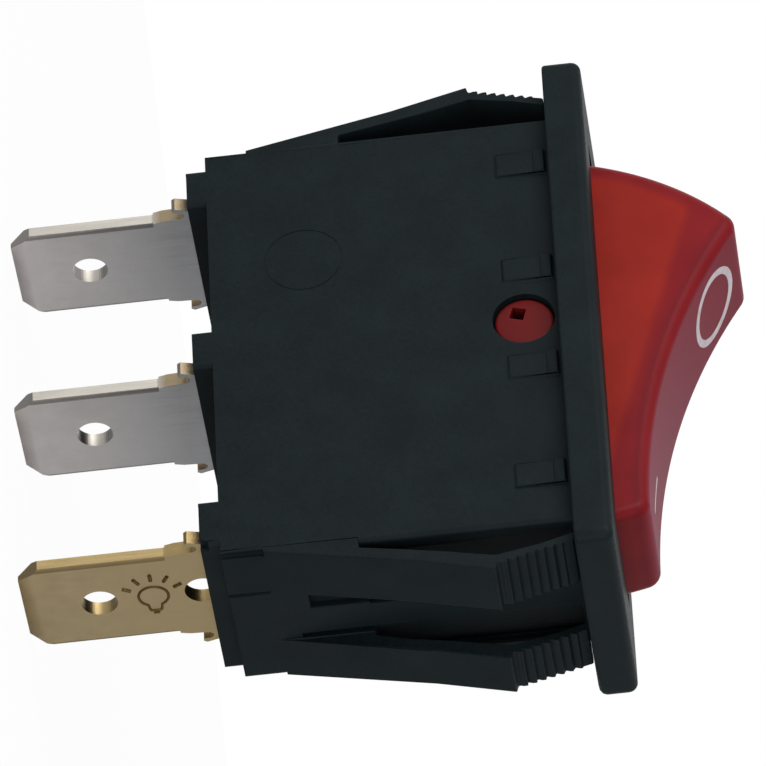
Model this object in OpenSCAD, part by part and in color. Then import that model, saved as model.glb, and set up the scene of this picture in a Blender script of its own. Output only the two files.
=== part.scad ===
// Panel rocker switch. A snap-in housing carries a see-saw rocker with a pilot
// lamp inside it, a sprung plunger, a tipping contact lever and three push-on
// blades.
//
// Frame: z = 0 is the underside of the bezel, where the panel sits, and +Z
// leaves the panel. +X runs along the long side towards the "off" end, and +Y
// is across the width. Everything is drawn in the "on" state, with the -X end
// of the rocker pressed. All sizes are in millimetres.

// Sub-part to draw

/* [Bezel] */
// Length along X
bezel_len = 32.6; // [30:0.1:40]
// Width along Y
bezel_wid = 13.6; // [11:0.1:20]
// Thickness in front of the panel
bezel_h = 2.05; // [1:0.05:4]
// Corner radius seen from the front
bezel_corner_r = 0.6; // [0.55:0.05:3]
// Radius of the rolled front edge
bezel_edge_r = 0.5; // [0.1:0.05:0.5]

/* [Housing] */
// Length of the body behind the panel
body_len = 27.5; // [24:0.1:36]
// Width of the body behind the panel
body_wid = 10.4; // [9:0.02:16]
// Depth of the body behind the bezel
body_depth = 18.3; // [14:0.1:24]
// Radius of the body's four long corners
body_corner_r = 0.4; // [0:0.05:1]
// Length of the well that the rocker swings in
well_len = 25.9; // [22:0.1:30]
// Width of the well
well_wid = 7.3; // [6:0.1:10]
// Depth of the well's full-length part
well_depth = 6; // [4:0.1:10]
// Length of the well below that
chamber_len = 24.4; // [20:0.1:28]
// Depth of the chamber's floor
floor_depth = 16.8; // [14:0.1:20]
// Height of the collars round the blades, on the rear face
collar_h = 1.05; // [0.4:0.05:2]
// Length of a collar along X
collar_len = 2.5; // [1.5:0.1:4]
// Length of the collar at the lamp blade
lamp_collar_len = 3; // [1.5:0.1:4]
// Shift of the middle collar towards +X
mid_collar_shift = 0.28; // [0:0.01:1]
// Rounding of the collars' upright corners
collar_r = 0.35; // [0:0.05:0.6]

/* [Snap arms] */
// Reach of the arm's crest from the centre
crest_x = 16.5; // [15:0.05:18]
// Depth of the crest behind the bezel
crest_depth = 4.2; // [2:0.1:6]
// Depth at which the arm leaves the body
arm_root_depth = 16.1; // [12:0.1:18]
// Depth at which the arm's outer face bends
arm_bend_depth = 8.3; // [6:0.1:12]
// Reach of that bend
arm_bend_x = 15.4; // [14.5:0.05:16]
// Step from the crest down to the toothed ramp
crest_step = 0.35; // [0:0.05:0.8]
// Teeth on the ramp that grips the panel's edge
teeth = 7; // [3:1:12]
// Height of a tooth
tooth_h = 0.15; // [0.05:0.01:0.4]
// Depth of the ramp's end behind the bezel
ramp_end_depth = 0.6; // [0.15:0.05:1.5]
// Reach of the ramp's end
ramp_end_x = 15.25; // [14.5:0.05:16]
// Inner edges of the +Y and -Y arms, measured from the centre line
arm_edges = [1.7, 2.3];
// Recess behind the arms, cut into the end wall
arm_recess = 0.45; // [0.2:0.05:0.6]

/* [Side pads] */
// Length of a pad along X
pad_len = 1.5; // [0.5:0.1:3]
// Height of a pad above the body
pad_h = 0.28; // [0.15:0.01:0.8]
// Height of its low part
pad_low = 0.15; // [0.05:0.01:0.15]
// Depth at which a pad begins
pad_depth = 2.9; // [1.5:0.1:5]
// Depth of the step between its low and its high part
pad_step_depth = 0.9; // [0.5:0.1:1.4]
// Distances of the pads from the centre
pad_xs = [3.3, 10.6];

/* [Rocker] */
// Width across the two side walls
rocker_wid = 6.8; // [5:0.1:9]
// Depth of the pivot behind the bezel's underside
pivot_depth = 1.9; // [1:0.1:4]
// Tilt to each side of upright
tilt = 17; // [8:1:22]
// Radius of the hollow front face
face_r = 34; // [20:0.5:60]
// Height of the front face over the pivot, at the middle
face_h = 7.55; // [5:0.05:10]
// Radius of the curved ends
end_r = 16.13; // [12:0.01:20]
// Distance of the end curve's centre beyond the middle
end_back = 3.6; // [2:0.01:6]
// Height of that centre over the pivot
end_up = 0.1; // [0:0.05:1]
// Radius of the two front ridges
ridge_r = 0.6; // [0.2:0.05:1]
// Rounding of the edges along the sides
edge_r = 0.35; // [0.1:0.05:0.4]
// Height of the rocker's open underside over the pivot
skirt_up = 0.3; // [0:0.05:2]
// Side and end wall
rocker_wall = 1; // [0.6:0.05:1.5]
// Height of the hollow's flat ceiling over the pivot
ceiling_up = 6.25; // [5.5:0.05:6.5]
// Radius of the two trunnions
trunnion_r = 1.57; // [1:0.01:2.5]
// Radial clearance round a trunnion
trunnion_gap = 0.08; // [0.02:0.01:0.1]
// Length of a trunnion beyond the side wall
trunnion_len = 1.5; // [0.8:0.05:1.7]
// Chamfer on a trunnion's end
trunnion_chamfer = 0.15; // [0.1:0.05:0.5]
// Depth of the square pocket in that end
trunnion_notch = 1; // [0.2:0.05:1.2]
// Width of that pocket
notch_wid = 0.75; // [0.5:0.05:0.9]

/* [Plunger and contact lever] */
// Outer radius of the plunger's barrel
barrel_r = 2; // [1.6:0.05:2.3]
// Reach of the barrel behind the pivot
barrel_len = 6.5; // [4:0.1:8]
// Plunger radius
plunger_r = 1.24; // [0.8:0.01:1.6]
// Radial clearance round the plunger
plunger_gap = 0.06; // [0.02:0.01:0.1]
// Distance from the pivot to the centre of the plunger's nose
nose_len = 9.4; // [8:0.1:11]
// Length of the plunger behind the nose
plunger_len = 6.2; // [4:0.1:8]
// Depth of the lever's knife edge
lever_depth = 13.4; // [12:0.1:15]
// Tilt of the lever to each side of level
lever_tilt = 5; // [3:0.5:8]
// Radius of the lever's dished middle
valley_r = 6.527; // [5:0.001:9]
// Height of the dish's centre over the knife edge
valley_up = 7.366; // [6:0.001:9]
// Lever thickness
lever_t = 0.6; // [0.3:0.05:0.8]
// Lever width
lever_wid = 3.4; // [2:0.1:3.5]
// Distance from the centre to the end of the dish, at the contact side
dish_half = 3.6; // [3.3:0.05:4.2]
// The same at the free side
dish_tail = 4.2; // [3.3:0.05:4.6]
// Position of the contacts along X
contact_x = 8.6; // [7:0.1:9]
// Radius of a contact button
contact_r = 1.2; // [0.8:0.05:1.5]
// Height of a contact button
contact_h = 0.5; // [0.3:0.05:0.8]
// Gap left between touching parts that move
touch = 0.02; // [0.01:0.01:0.05]

/* [Blades] */
// Distance between neighbouring blades
blade_pitch = 11.4; // [9:0.1:13]
// Width of a blade
blade_wid = 6.3; // [4.7:0.1:6.4]
// Thickness of a blade
blade_t = 0.8; // [0.5:0.05:1]
// Depth of the blades' tips behind the bezel's underside
blade_tip = 29.2; // [24:0.1:34]
// Corner cut at the tip, along the blade
tip_cut_len = 1.12; // [0.4:0.02:2]
// Corner cut at the tip, across the blade
tip_cut_wid = 0.96; // [0.4:0.02:2]
// Radius of the detent hole
detent_r = 0.95; // [0.6:0.05:1.1]
// Distance of the detent hole from the tip
detent_from_tip = 3.97; // [3:0.01:5]
// Bevel on the blade's faces at the tip
tip_bevel = 0.25; // [0.05:0.05:0.35]
// Bevel along the blade's edges
edge_bevel = 0.12; // [0:0.01:0.3]
// Half width at the foot, where staking spreads the blade
foot_half = 3.35; // [3.2:0.01:3.5]
// Half width over the staked horns
horn_half = 4.15; // [3.8:0.05:4.6]
// Depth of the horns' tips
horn_tip = 20.3; // [19.6:0.05:21]
// Height of the lamp blade's second hole over the tip
second_hole = 9.4; // [8:0.1:10]
// Sideways shift of that hole
second_hole_y = 0.18; // [0:0.01:0.5]
// Width of the blades' shelves inside the housing
shelf_wid = 5.6; // [4:0.1:6.2]

/* [Pilot lamp] */
// Radius of the lamp's glass
glass_r = 2; // [1.5:0.1:2.2]
// Height of the lamp over the pivot
lamp_up = 3.2; // [2.8:0.1:4]
// Position of the lamp's sealed end
lamp_start = 2.9; // [2.5:0.1:4]
// Length of the glass to the start of its dome
lamp_len = 4.6; // [3:0.1:6]
// Lead wire radius
lead_r = 0.15; // [0.1:0.01:0.17]
// Radius of the resistor
resistor_r = 1.1; // [0.8:0.05:1.3]
// Length of the resistor
resistor_len = 4.6; // [3:0.1:6]
// Position of the resistor's end nearest the barrel
resistor_start = 3; // [2.6:0.1:4]
// Position of the lamp spring on the rocker
lamp_spring_x = 8.6; // [7:0.1:9]
// Position of the lamp spring's foot
spring_foot_x = 8; // [7:0.1:9]
// Depth of the shelf that the lamp spring stands on
lamp_shelf_depth = 13; // [12:0.1:15]

/* [Hidden] */
$fn = 48;
small = 0.01;
pin_gap = 0.03;                                  // static gap round a blade in its slot
rest = -tilt;                                    // rocker angle as drawn
half_b = blade_t / 2;
blades = [blade_pitch, 0, -blade_pitch];
collars = [[blade_pitch + 0.05, collar_len], [mid_collar_shift, collar_len],
           [-blade_pitch - 0.05, lamp_collar_len]];
rear_z = -body_depth - collar_h;
floor_z = -floor_depth;
// inner faces of the rocker's hollow
hollow_half = rocker_wid / 2 - rocker_wall;
// end of the lever's dish, seen from the knife edge
dish_z = valley_up - sqrt(pow(valley_r, 2) - pow(dish_half, 2));
// the same point in the switch's frame, with the lever tipped
dish_x_world = dish_half * cos(lever_tilt) + dish_z * sin(lever_tilt);
arm_top = -lever_depth - dish_half * sin(lever_tilt) + dish_z * cos(lever_tilt);
contact_z = arm_top - lever_t - contact_h;       // underside of the moving contact
shelf_top = contact_z - touch - contact_h;       // top of the live blade's shelf
bore_r = plunger_r + plunger_gap;
bore_top = 4.6;
lamp_end = lamp_start + lamp_len;

housing();
rocker();
terminal_live();
terminal_load();
terminal_lamp();
fixed_contact();
contact_lever();
moving_contact();
plunger();
plunger_spring();
spring_cap();
neon_glass();
neon_electrodes();
lamp_lead_plunger();
lamp_lead_resistor();
resistor();
resistor_lead();
lamp_carrier();
lamp_spring();
lamp_spring_cap();

// ---- frames and sweeps -------------------------------------------------

// Sweeps a profile drawn in X and Z along Y, from y0 to y1.
module along_y(y0, y1) {
  translate([0, y1, 0]) rotate([90, 0, 0]) linear_extrude(height = y1 - y0) children();
}

// Sweeps a profile drawn in Y and Z along X, from x0 to x1.
module along_x(x0, x1) {
  translate([x0, 0, 0]) rotate([90, 0, 90]) linear_extrude(height = x1 - x0) children();
}

// A box given by its two corners.
module span(low, high) {
  translate(low) cube(high - low);
}

// A rectangle with round corners, centred.
module rounded_rect(l, w, r) {
  square([l - 2 * r, w], center = true);
  square([l, w - 2 * r], center = true);
  for (x = [-1, 1], y = [-1, 1])
    translate([x * (l / 2 - r), y * (w / 2 - r)]) circle(r = r);
}

// A disc across Y, with rolled rims.
module rolled_disc(r, wid, rim) {
  rotate([90, 0, 0]) rotate_extrude() {
    translate([0, -wid / 2]) square([r - rim, wid]);
    translate([0, -wid / 2 + rim]) square([r, wid - 2 * rim]);
    for (y = [-1, 1]) translate([r - rim, y * (wid / 2 - rim)]) circle(r = rim);
  }
}

// Puts children into the rocker's own frame: origin on the pivot, tilted.
module on_rocker() {
  translate([0, 0, -pivot_depth]) rotate([0, rest, 0]) children();
}

// Puts children into the lever's own frame: origin on the knife edge, tipped.
module on_lever() {
  translate([0, 0, -lever_depth]) rotate([0, lever_tilt, 0]) children();
}

function unit(v) = v / norm(v);

// Corner cutting: each round replaces a corner by two points beside it.
function softened(points, rounds) =
  rounds == 0 ? points :
  softened(concat([points[0]],
    [for (i = [0 : len(points) - 2]) each
      [points[i] * 0.75 + points[i + 1] * 0.25, points[i] * 0.25 + points[i + 1] * 0.75]],
    [points[len(points) - 1]]), rounds - 1);

// A round wire swept along a path. side is any direction that the path never
// runs along.
module round_wire(path, r, side, sides = 8) {
  last = len(path) - 1;
  rings = [for (i = [0 : last])
    let (t = unit(path[min(i + 1, last)] - path[max(i - 1, 0)]),
         e1 = unit(cross(side, t)), e2 = cross(t, e1))
    for (j = [0 : sides - 1])
      path[i] + r * (e1 * cos(360 * j / sides) + e2 * sin(360 * j / sides))];
  skin = [for (i = [0 : last - 1], j = [0 : sides - 1])
    let (a = i * sides + j, b = i * sides + (j + 1) % sides)
    each [[a, a + sides, b], [b, a + sides, b + sides]]];
  ends = [[for (j = [0 : sides - 1]) j], [for (j = [sides - 1 : -1 : 0]) last * sides + j]];
  polyhedron(points = rings, faces = concat(skin, ends), convexity = 10);
}

// One of the two points that lie r1 from c1 and r2 from c2, on the +X side.
function meet(c1, r1, c2, r2) =
  let (d = c2 - c1, l = norm(d), a = (l * l + r1 * r1 - r2 * r2) / (2 * l),
       h = sqrt(r1 * r1 - a * a), m = c1 + d * a / l, n = [-d[1], d[0]] * h / l,
       p = m + n, q = m - n)
  p[0] > q[0] ? p : q;

// Centre line of a coil along a curved axis in the XZ plane. The axis leaves
// foot upwards and arrives at top leaning by lean degrees towards -X. The end
// turns are closed: the axis hardly advances in them.
function coil_path(foot, top, lean, coil_r, wire_r, turns, per_turn = 18) =
  let (steps = turns * per_turn, chord = norm(top - foot),
       out = [-sin(lean), cos(lean)], e = 1 / turns, k = wire_r * 2.1 / chord)
  [for (i = [0 : steps])
    let (s = i / steps,
         t = s < e ? s / e * k
           : s > 1 - e ? 1 - (1 - s) / e * k
           : k + (s - e) / (1 - 2 * e) * (1 - 2 * k),
         c = foot * (2 * pow(t, 3) - 3 * t * t + 1) + top * (3 * t * t - 2 * pow(t, 3))
           + [0, 1] * chord * (pow(t, 3) - 2 * t * t + t) + out * chord * (pow(t, 3) - t * t),
         v = unit(foot * (6 * t * t - 6 * t) + top * (6 * t - 6 * t * t)
           + [0, 1] * chord * (3 * t * t - 4 * t + 1) + out * chord * (3 * t * t - 2 * t)),
         a = 360 * i / per_turn)
    [c[0], 0, c[1]] + coil_r * ([v[1], 0, -v[0]] * cos(a) + [0, 1, 0] * sin(a))];

// ---- housing -----------------------------------------------------------

module bezel() {
  flat_h = bezel_h - bezel_edge_r;
  inner_r = bezel_corner_r - bezel_edge_r;
  linear_extrude(height = flat_h) rounded_rect(bezel_len, bezel_wid, bezel_corner_r);
  linear_extrude(height = bezel_h)
    rounded_rect(bezel_len - 2 * bezel_edge_r, bezel_wid - 2 * bezel_edge_r, inner_r);
  translate([0, 0, flat_h]) {
    for (x = [-1, 1]) translate([x * (bezel_len / 2 - bezel_edge_r), 0, 0])
      rotate([90, 0, 0]) cylinder(r = bezel_edge_r, h = bezel_wid - 2 * bezel_corner_r, center = true);
    for (y = [-1, 1]) translate([0, y * (bezel_wid / 2 - bezel_edge_r), 0])
      rotate([0, 90, 0]) cylinder(r = bezel_edge_r, h = bezel_len - 2 * bezel_corner_r, center = true);
    for (x = [-1, 1], y = [-1, 1])
      translate([x * (bezel_len / 2 - bezel_corner_r), y * (bezel_wid / 2 - bezel_corner_r), 0])
        rotate_extrude() intersection() {
          translate([inner_r, 0]) circle(r = bezel_edge_r);
          square([bezel_corner_r, bezel_edge_r]);
        }
  }
}

// Outline of a snap arm, seen from the side, at the +X end.
module arm_profile() {
  ramp_x = crest_x - crest_step;
  pitch = (crest_depth - 0.1 - ramp_end_depth) / teeth;
  slope = (ramp_x - ramp_end_x) / teeth;
  foot_x = body_len / 2;
  polygon(concat(
    [[foot_x - 0.3, -arm_root_depth], [foot_x, -arm_root_depth],
     [arm_bend_x, -arm_bend_depth], [crest_x, -crest_depth], [ramp_x, -crest_depth + 0.1]],
    [for (i = [0 : teeth - 1]) each [
      [ramp_x - slope * (i + 0.1) - tooth_h * 0.7, -crest_depth + 0.1 + pitch * (i + 0.1)],
      [ramp_x - slope * (i + 0.6) + tooth_h * 0.25, -crest_depth + 0.1 + pitch * (i + 0.6)],
      [ramp_x - slope * (i + 0.8) + tooth_h * 0.3, -crest_depth + 0.1 + pitch * (i + 0.8)],
      [ramp_x - slope * (i + 0.95) - tooth_h * 0.2, -crest_depth + 0.1 + pitch * (i + 0.95)]]],
    [[ramp_end_x - 0.15, -0.1], [ramp_end_x - 0.6, -0.1], [ramp_end_x - 0.1, -1.8],
     [15.6, -crest_depth + 0.1], [15, -6.5], [14.5, -9], [14.1, -11.15],
     [foot_x - 0.3, -11.15]]));
}

module snap_arms() {
  for (end = [0, 1]) mirror([end, 0, 0]) {
    along_y(arm_edges[0], body_wid / 2) arm_profile();
    along_y(-body_wid / 2, -arm_edges[1]) arm_profile();
  }
}

// Pockets in the end walls, behind and between the arms, and the small
// marks beside them.
module end_pockets() {
  x0 = body_len / 2 - arm_recess;
  x1 = body_len / 2 + 1;
  for (end = [0, 1]) mirror([end, 0, 0]) {
    span([x0, 0, -11.15], [x1, body_wid / 2 - 0.88, -0.3]);
    span([x0, 0.15, -14.2], [x1, arm_edges[0], -11]);
    span([x0, -body_wid / 2 + 0.88, -11.15], [x1, -1.85, -0.3]);
    span([x0, -2.27, -14.9], [x1, -1.85, -11]);
    span([body_len / 2 - 0.3, body_wid / 2 - 0.48, -body_depth - 1],
         [x1, body_wid / 2 - 0.08, -15.6]);
    span([body_len / 2 - 0.08, 1.72, -body_depth - 1], [x1, 1.84, -14.2]);
  }
}

module side_pads() {
  y = body_wid / 2;
  for (x = pad_xs, end = [-1, 1], side = [0, 1])
    mirror([0, side, 0]) along_x(end * x - pad_len / 2, end * x + pad_len / 2)
      polygon([[y - 0.2, -pad_depth], [y, -pad_depth], [y + pad_low, -pad_depth + 0.08],
               [y + pad_low, -pad_step_depth], [y + pad_h, -pad_step_depth + 0.1],
               [y + pad_h, -0.25], [y - 0.2, -0.25]]);
}

// Slot for one blade, from the chamber's floor to a flared mouth.
module blade_slot(x) {
  half = blade_wid / 2 + 0.05;
  along_x(x - half_b - pin_gap, x + half_b + pin_gap)
    polygon([[-half, floor_z + 1], [half, floor_z + 1], [half, rear_z + 0.7],
             [horn_half - 0.1, rear_z - small], [-horn_half + 0.1, rear_z - small],
             [-half, rear_z + 0.7]]);
}

// Blocks and ribs that stand on the chamber's floor.
module chamber_blocks() {
  half = well_wid / 2 + small;
  difference() {
    span([contact_x - 1.3, -half, floor_z - small], [contact_x + 1.3, half, shelf_top - blade_t]);
    translate([contact_x, 0, shelf_top - blade_t - 0.6]) cylinder(r = 1.1, h = 1);
  }
  span([-spring_foot_x - 1.6, -half, floor_z - small],
       [-spring_foot_x + 1.5, half, -lamp_shelf_depth - blade_t]);
  for (side = [0, 1], end = [0, 1]) mirror([0, side, 0]) mirror([end, 0, 0])
    span([half_b + pin_gap, 2.6, floor_z - small], [half_b + 1, half, -14.2]);
}

module housing() {
  color("DimGray") {
    difference() {
      union() {
        bezel();
        translate([0, 0, -body_depth]) linear_extrude(height = body_depth + 0.5)
          rounded_rect(body_len, body_wid, body_corner_r);
        for (c = collars) translate([c[0], 0, rear_z]) linear_extrude(height = collar_h + 0.5)
          rounded_rect(c[1], body_wid, collar_r);
        side_pads();
      }
      // the well and the chamber below it
      translate([0, 0, -well_depth]) linear_extrude(height = well_depth + bezel_h + 1)
        rounded_rect(well_len, well_wid, 0.3);
      span([-chamber_len / 2, -well_wid / 2, floor_z],
           [chamber_len / 2, well_wid / 2, -well_depth + small]);
      // trunnion bores
      translate([0, 0, -pivot_depth]) rotate([90, 0, 0])
        cylinder(r = trunnion_r + trunnion_gap, h = body_wid + 2, center = true);
      for (x = blades) blade_slot(x);
      end_pockets();
      // ejector mark
      translate([5.6, body_wid / 2, -13.3]) rotate([90, 0, 0]) difference() {
        cylinder(r = 2.1, h = 0.06, center = true);
        cylinder(r = 1.98, h = 1, center = true);
      }
      // nick at the corner of the lamp blade's collar
      span([-blade_pitch - 1.7, body_wid / 2 - 0.5, rear_z - 1],
           [-blade_pitch - 1.2, body_wid / 2 + 1, rear_z + 0.45]);
    }
    snap_arms();
    chamber_blocks();
  }
}

// ---- rocker ------------------------------------------------------------

end_c = [-end_back, end_up];
face_c = [0, face_h + face_r];
ridge_c = meet(end_c, end_r - ridge_r, face_c, face_r + ridge_r);
ridge_out = end_c + (ridge_c - end_c) * end_r / (end_r - ridge_r);
ridge_in = face_c + (ridge_c - face_c) * face_r / (face_r + ridge_r);

// Half of the rocker's blank: a slice of a rolled disc.
module rocker_half() {
  intersection() {
    translate([end_c[0], 0, end_c[1]]) rolled_disc(end_r, rocker_wid, edge_r);
    span([-small, -rocker_wid, skirt_up], [20, rocker_wid, 20]);
  }
}

// The tool that hollows the front face and rolls its two long edges.
module face_scoop() {
  half = rocker_wid / 2;
  translate([face_c[0], 0, face_c[1]]) rotate([90, 0, 0]) rotate_extrude($fn = 96)
    difference() {
      translate([0, -half - 1]) square([face_r + edge_r, 2 * half + 2]);
      difference() {
        translate([face_r, -half]) square([edge_r + 1, 2 * half]);
        for (y = [-1, 1]) difference() {
          translate([face_r, y * half - (y > 0 ? edge_r : 0)]) square(edge_r);
          translate([face_r + edge_r, y * (half - edge_r)]) circle(r = edge_r);
        }
      }
    }
}

// Cuts the sharp corner between the end and the front face, up to the chord
// of the ridge's rounding.
module ridge_cut() {
  far = ridge_c + (ridge_out - ridge_c + ridge_in - ridge_c) * 3;
  along_y(-rocker_wid, rocker_wid)
    polygon([ridge_in, ridge_out, ridge_out + [3, 3], far + [0, 6], ridge_in + [-1.5, 3]]);
}

module rocker_shell() {
  difference() {
    union() for (end = [0, 1]) mirror([end, 0, 0]) rocker_half();
    face_scoop();
    for (end = [0, 1]) mirror([end, 0, 0]) ridge_cut();
  }
  for (end = [0, 1]) mirror([end, 0, 0])
    translate([ridge_c[0], 0, ridge_c[1]]) rolled_disc(ridge_r, rocker_wid, edge_r);
}

// The hollow, open at the underside.
module rocker_hollow() {
  along_y(-hollow_half, hollow_half)
    for (end = [0, 1]) mirror([end, 0]) intersection() {
      translate(end_c) circle(r = end_r - rocker_wall, $fn = 96);
      translate([-small, -2]) square([20, ceiling_up + 2]);
    }
}

module rocker() {
  half = rocker_wid / 2;
  color("Firebrick") on_rocker() {
    difference() {
      union() {
        difference() {
          union() {
            rocker_shell();
            // hubs round the pivot
            rotate([90, 0, 0]) cylinder(r = 2.3, h = rocker_wid, center = true);
          }
          rocker_hollow();
          span([-2.5, -hollow_half, -3], [2.5, hollow_half, skirt_up + small]);
        }
        // barrel, and the ribs that tie it to the side walls
        translate([0, 0, -barrel_len]) cylinder(r = barrel_r, h = barrel_len + face_h - 0.8);
        span([-0.4, -hollow_half - small, 2.2], [0.4, hollow_half + small, face_h - 0.8]);
      }
      translate([0, 0, -barrel_len - 1]) cylinder(r = bore_r, h = barrel_len + 1 + bore_top);
      // notch for the lamp's lead
      span([0.5, -0.35, bore_top - 0.75], [barrel_r + 1, 0.35, bore_top]);
    }
    for (side = [0, 1]) mirror([0, side, 0]) translate([0, half - small, 0]) difference() {
      rotate([-90, 0, 0]) {
        cylinder(r = trunnion_r, h = trunnion_len - trunnion_chamfer);
        translate([0, 0, trunnion_len - trunnion_chamfer])
          cylinder(r1 = trunnion_r, r2 = trunnion_r - trunnion_chamfer, h = trunnion_chamfer);
      }
      span([0.1, trunnion_len - trunnion_notch, -0.1 - notch_wid],
           [0.1 + notch_wid, trunnion_len + 1, -0.1]);
    }
  }
}

// ---- blades ------------------------------------------------------------

// Right half of a blade's outline from the tip to the shoulders that rest on
// the chamber's floor, with the staked horn and the fillet beside it.
function blade_edge() =
  let (half = blade_wid / 2, notch = [foot_half + 0.24, horn_tip - 0.35])
  concat(
    [[half - tip_cut_wid, -blade_tip], [half, -blade_tip + tip_cut_len],
     [half, -21.5], [foot_half - 0.05, -20.9]],
    [for (a = [180 : -20 : 0]) [notch[0] + 0.24 * cos(a), -notch[1] + 0.24 * sin(a)]],
    [[horn_half - 0.3, -horn_tip + 0.05], [horn_half - 0.12, -horn_tip],
     [horn_half, -horn_tip + 0.18], [horn_half - 0.12, rear_z - 0.35],
     [horn_half - 0.2, rear_z - 0.05], [half, rear_z + 0.68],
     [half, floor_z + small]]);

// A blade from its tip to shoulder_top, centred on X = 0.
module blade(shoulder_top) {
  edge = blade_edge();
  shoulder = [[3.5, floor_z + small], [3.5, shoulder_top]];
  right = concat(edge, shoulder);
  left = [for (i = [len(right) - 1 : -1 : 0]) [-right[i][0], right[i][1]]];
  difference() {
    along_x(-half_b, half_b) polygon(concat(right, left));
    translate([0, 0, -blade_tip + detent_from_tip]) rotate([0, 90, 0])
      cylinder(r = detent_r, h = 2, center = true);
    // bevels on the two faces: at the tip and along the edges
    for (side = [0, 1]) mirror([side, 0, 0]) {
      along_y(-blade_wid, blade_wid)
        polygon([[half_b - tip_bevel, -blade_tip - small], [half_b + 1, -blade_tip - small],
                 [half_b + 1, -blade_tip + 3 * tip_bevel], [half_b, -blade_tip + 3 * tip_bevel]]);
      for (flip = [0, 1]) mirror([0, flip, 0])
        translate([0, 0, -blade_tip - small]) linear_extrude(height = blade_tip - 21.4)
          polygon([[half_b + small, blade_wid / 2 - 2 * edge_bevel], [half_b + small, blade_wid],
                   [half_b - edge_bevel, blade_wid], [half_b - edge_bevel, blade_wid / 2],
                   [half_b, blade_wid / 2 - 2 * edge_bevel]]);
    }
  }
}

module terminal_live() {
  color("Silver") difference() {
    union() {
      translate([blade_pitch, 0, 0]) blade(shelf_top - 0.4);
      span([contact_x - 1.3, -shelf_wid / 2, shelf_top - blade_t],
           [blade_pitch + half_b, shelf_wid / 2, shelf_top]);
    }
    translate([contact_x, 0, shelf_top - 2]) cylinder(r = 0.55 + touch, h = 3);
  }
}

module terminal_load() {
  color("Silver") {
    blade(-lever_depth - 0.6);
    // rounded edge that the lever rocks on, between two ears
    translate([0, 0, -lever_depth]) rotate([90, 0, 0])
      cylinder(r = half_b, h = lever_wid + 0.4, center = true);
    span([-half_b, -3.5, -lever_depth - 1], [half_b, 3.5, -lever_depth]);
    for (side = [0, 1]) mirror([0, side, 0]) along_x(-half_b, half_b)
      polygon([[lever_wid / 2 + 0.1, -lever_depth - 1], [3.5, -lever_depth - 1],
               [3.5, -lever_depth + 1.6], [3.2, -lever_depth + 1.9],
               [lever_wid / 2 + 0.5, -lever_depth + 1.9],
               [lever_wid / 2 + 0.1, -lever_depth + 1.3]]);
  }
}

module terminal_lamp() {
  color("Goldenrod") difference() {
    union() {
      translate([-blade_pitch, 0, 0]) blade(-lamp_shelf_depth - 0.4);
      span([-blade_pitch - half_b, -shelf_wid / 2, -lamp_shelf_depth - blade_t],
           [-spring_foot_x + 1.5, shelf_wid / 2, -lamp_shelf_depth]);
      translate([-spring_foot_x, 0, -lamp_shelf_depth - small])
        cylinder(r1 = 0.9, r2 = 0.7, h = 0.5);
    }
    translate([-blade_pitch, second_hole_y, -blade_tip + second_hole]) rotate([0, 90, 0])
      cylinder(r = detent_r, h = 2, center = true);
  }
}

// ---- contacts, lever and plunger ----------------------------------------

module fixed_contact() {
  color("Gainsboro") translate([contact_x, 0, 0]) {
    translate([0, 0, shelf_top]) cylinder(r = contact_r, h = contact_h);
    translate([0, 0, shelf_top - blade_t - small]) cylinder(r = 0.55, h = blade_t + 0.1);
    translate([0, 0, shelf_top - blade_t - 0.35]) cylinder(r = 0.9, h = 0.35);
  }
}

module contact_lever() {
  color("Peru") on_lever() difference() {
    along_y(-lever_wid / 2, lever_wid / 2) {
      // dished middle
      difference() {
        intersection() {
          translate([0, valley_up]) difference() {
            circle(r = valley_r + lever_t, $fn = 96);
            circle(r = valley_r, $fn = 96);
          }
          translate([-dish_tail, 0]) square([dish_tail + dish_half, 4]);
        }
        circle(r = half_b + touch);
      }
      // level arm to the contact
      translate([dish_half, dish_z]) rotate(lever_tilt) {
        translate([-0.2, -lever_t]) square([contact_x - dish_x_world + 1.2, lever_t]);
        translate([contact_x - dish_x_world + 1, -lever_t / 2]) circle(r = lever_t / 2);
      }
    }
    translate([dish_half, 0, dish_z]) rotate([0, -lever_tilt, 0])
      translate([contact_x - dish_x_world, 0, -1]) cylinder(r = 0.5 + touch, h = 3);
  }
}

module moving_contact() {
  color("Gainsboro") translate([contact_x, 0, contact_z]) {
    cylinder(r = contact_r, h = contact_h);
    cylinder(r = 0.5, h = contact_h + lever_t + 0.1);
    translate([0, 0, contact_h + lever_t]) cylinder(r1 = 0.85, r2 = 0.6, h = 0.25);
  }
}

module plunger() {
  color("Khaki") on_rocker() {
    translate([0, 0, -nose_len]) {
      sphere(r = plunger_r);
      cylinder(r = plunger_r, h = plunger_len);
    }
  }
}

module plunger_spring() {
  wire_r = 0.18;
  color("LightSteelBlue") on_rocker()
    round_wire(coil_path([0, plunger_len - nose_len + wire_r + touch],
                         [0, bore_top - 0.6 - wire_r - touch], 0, 0.95, wire_r, 7),
               wire_r, [0, 0, 1]);
}

module spring_cap() {
  color("Khaki") on_rocker() translate([0, 0, bore_top - 0.6])
    cylinder(r = bore_r - touch, h = 0.6 - touch);
}

// ---- pilot lamp --------------------------------------------------------

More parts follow.
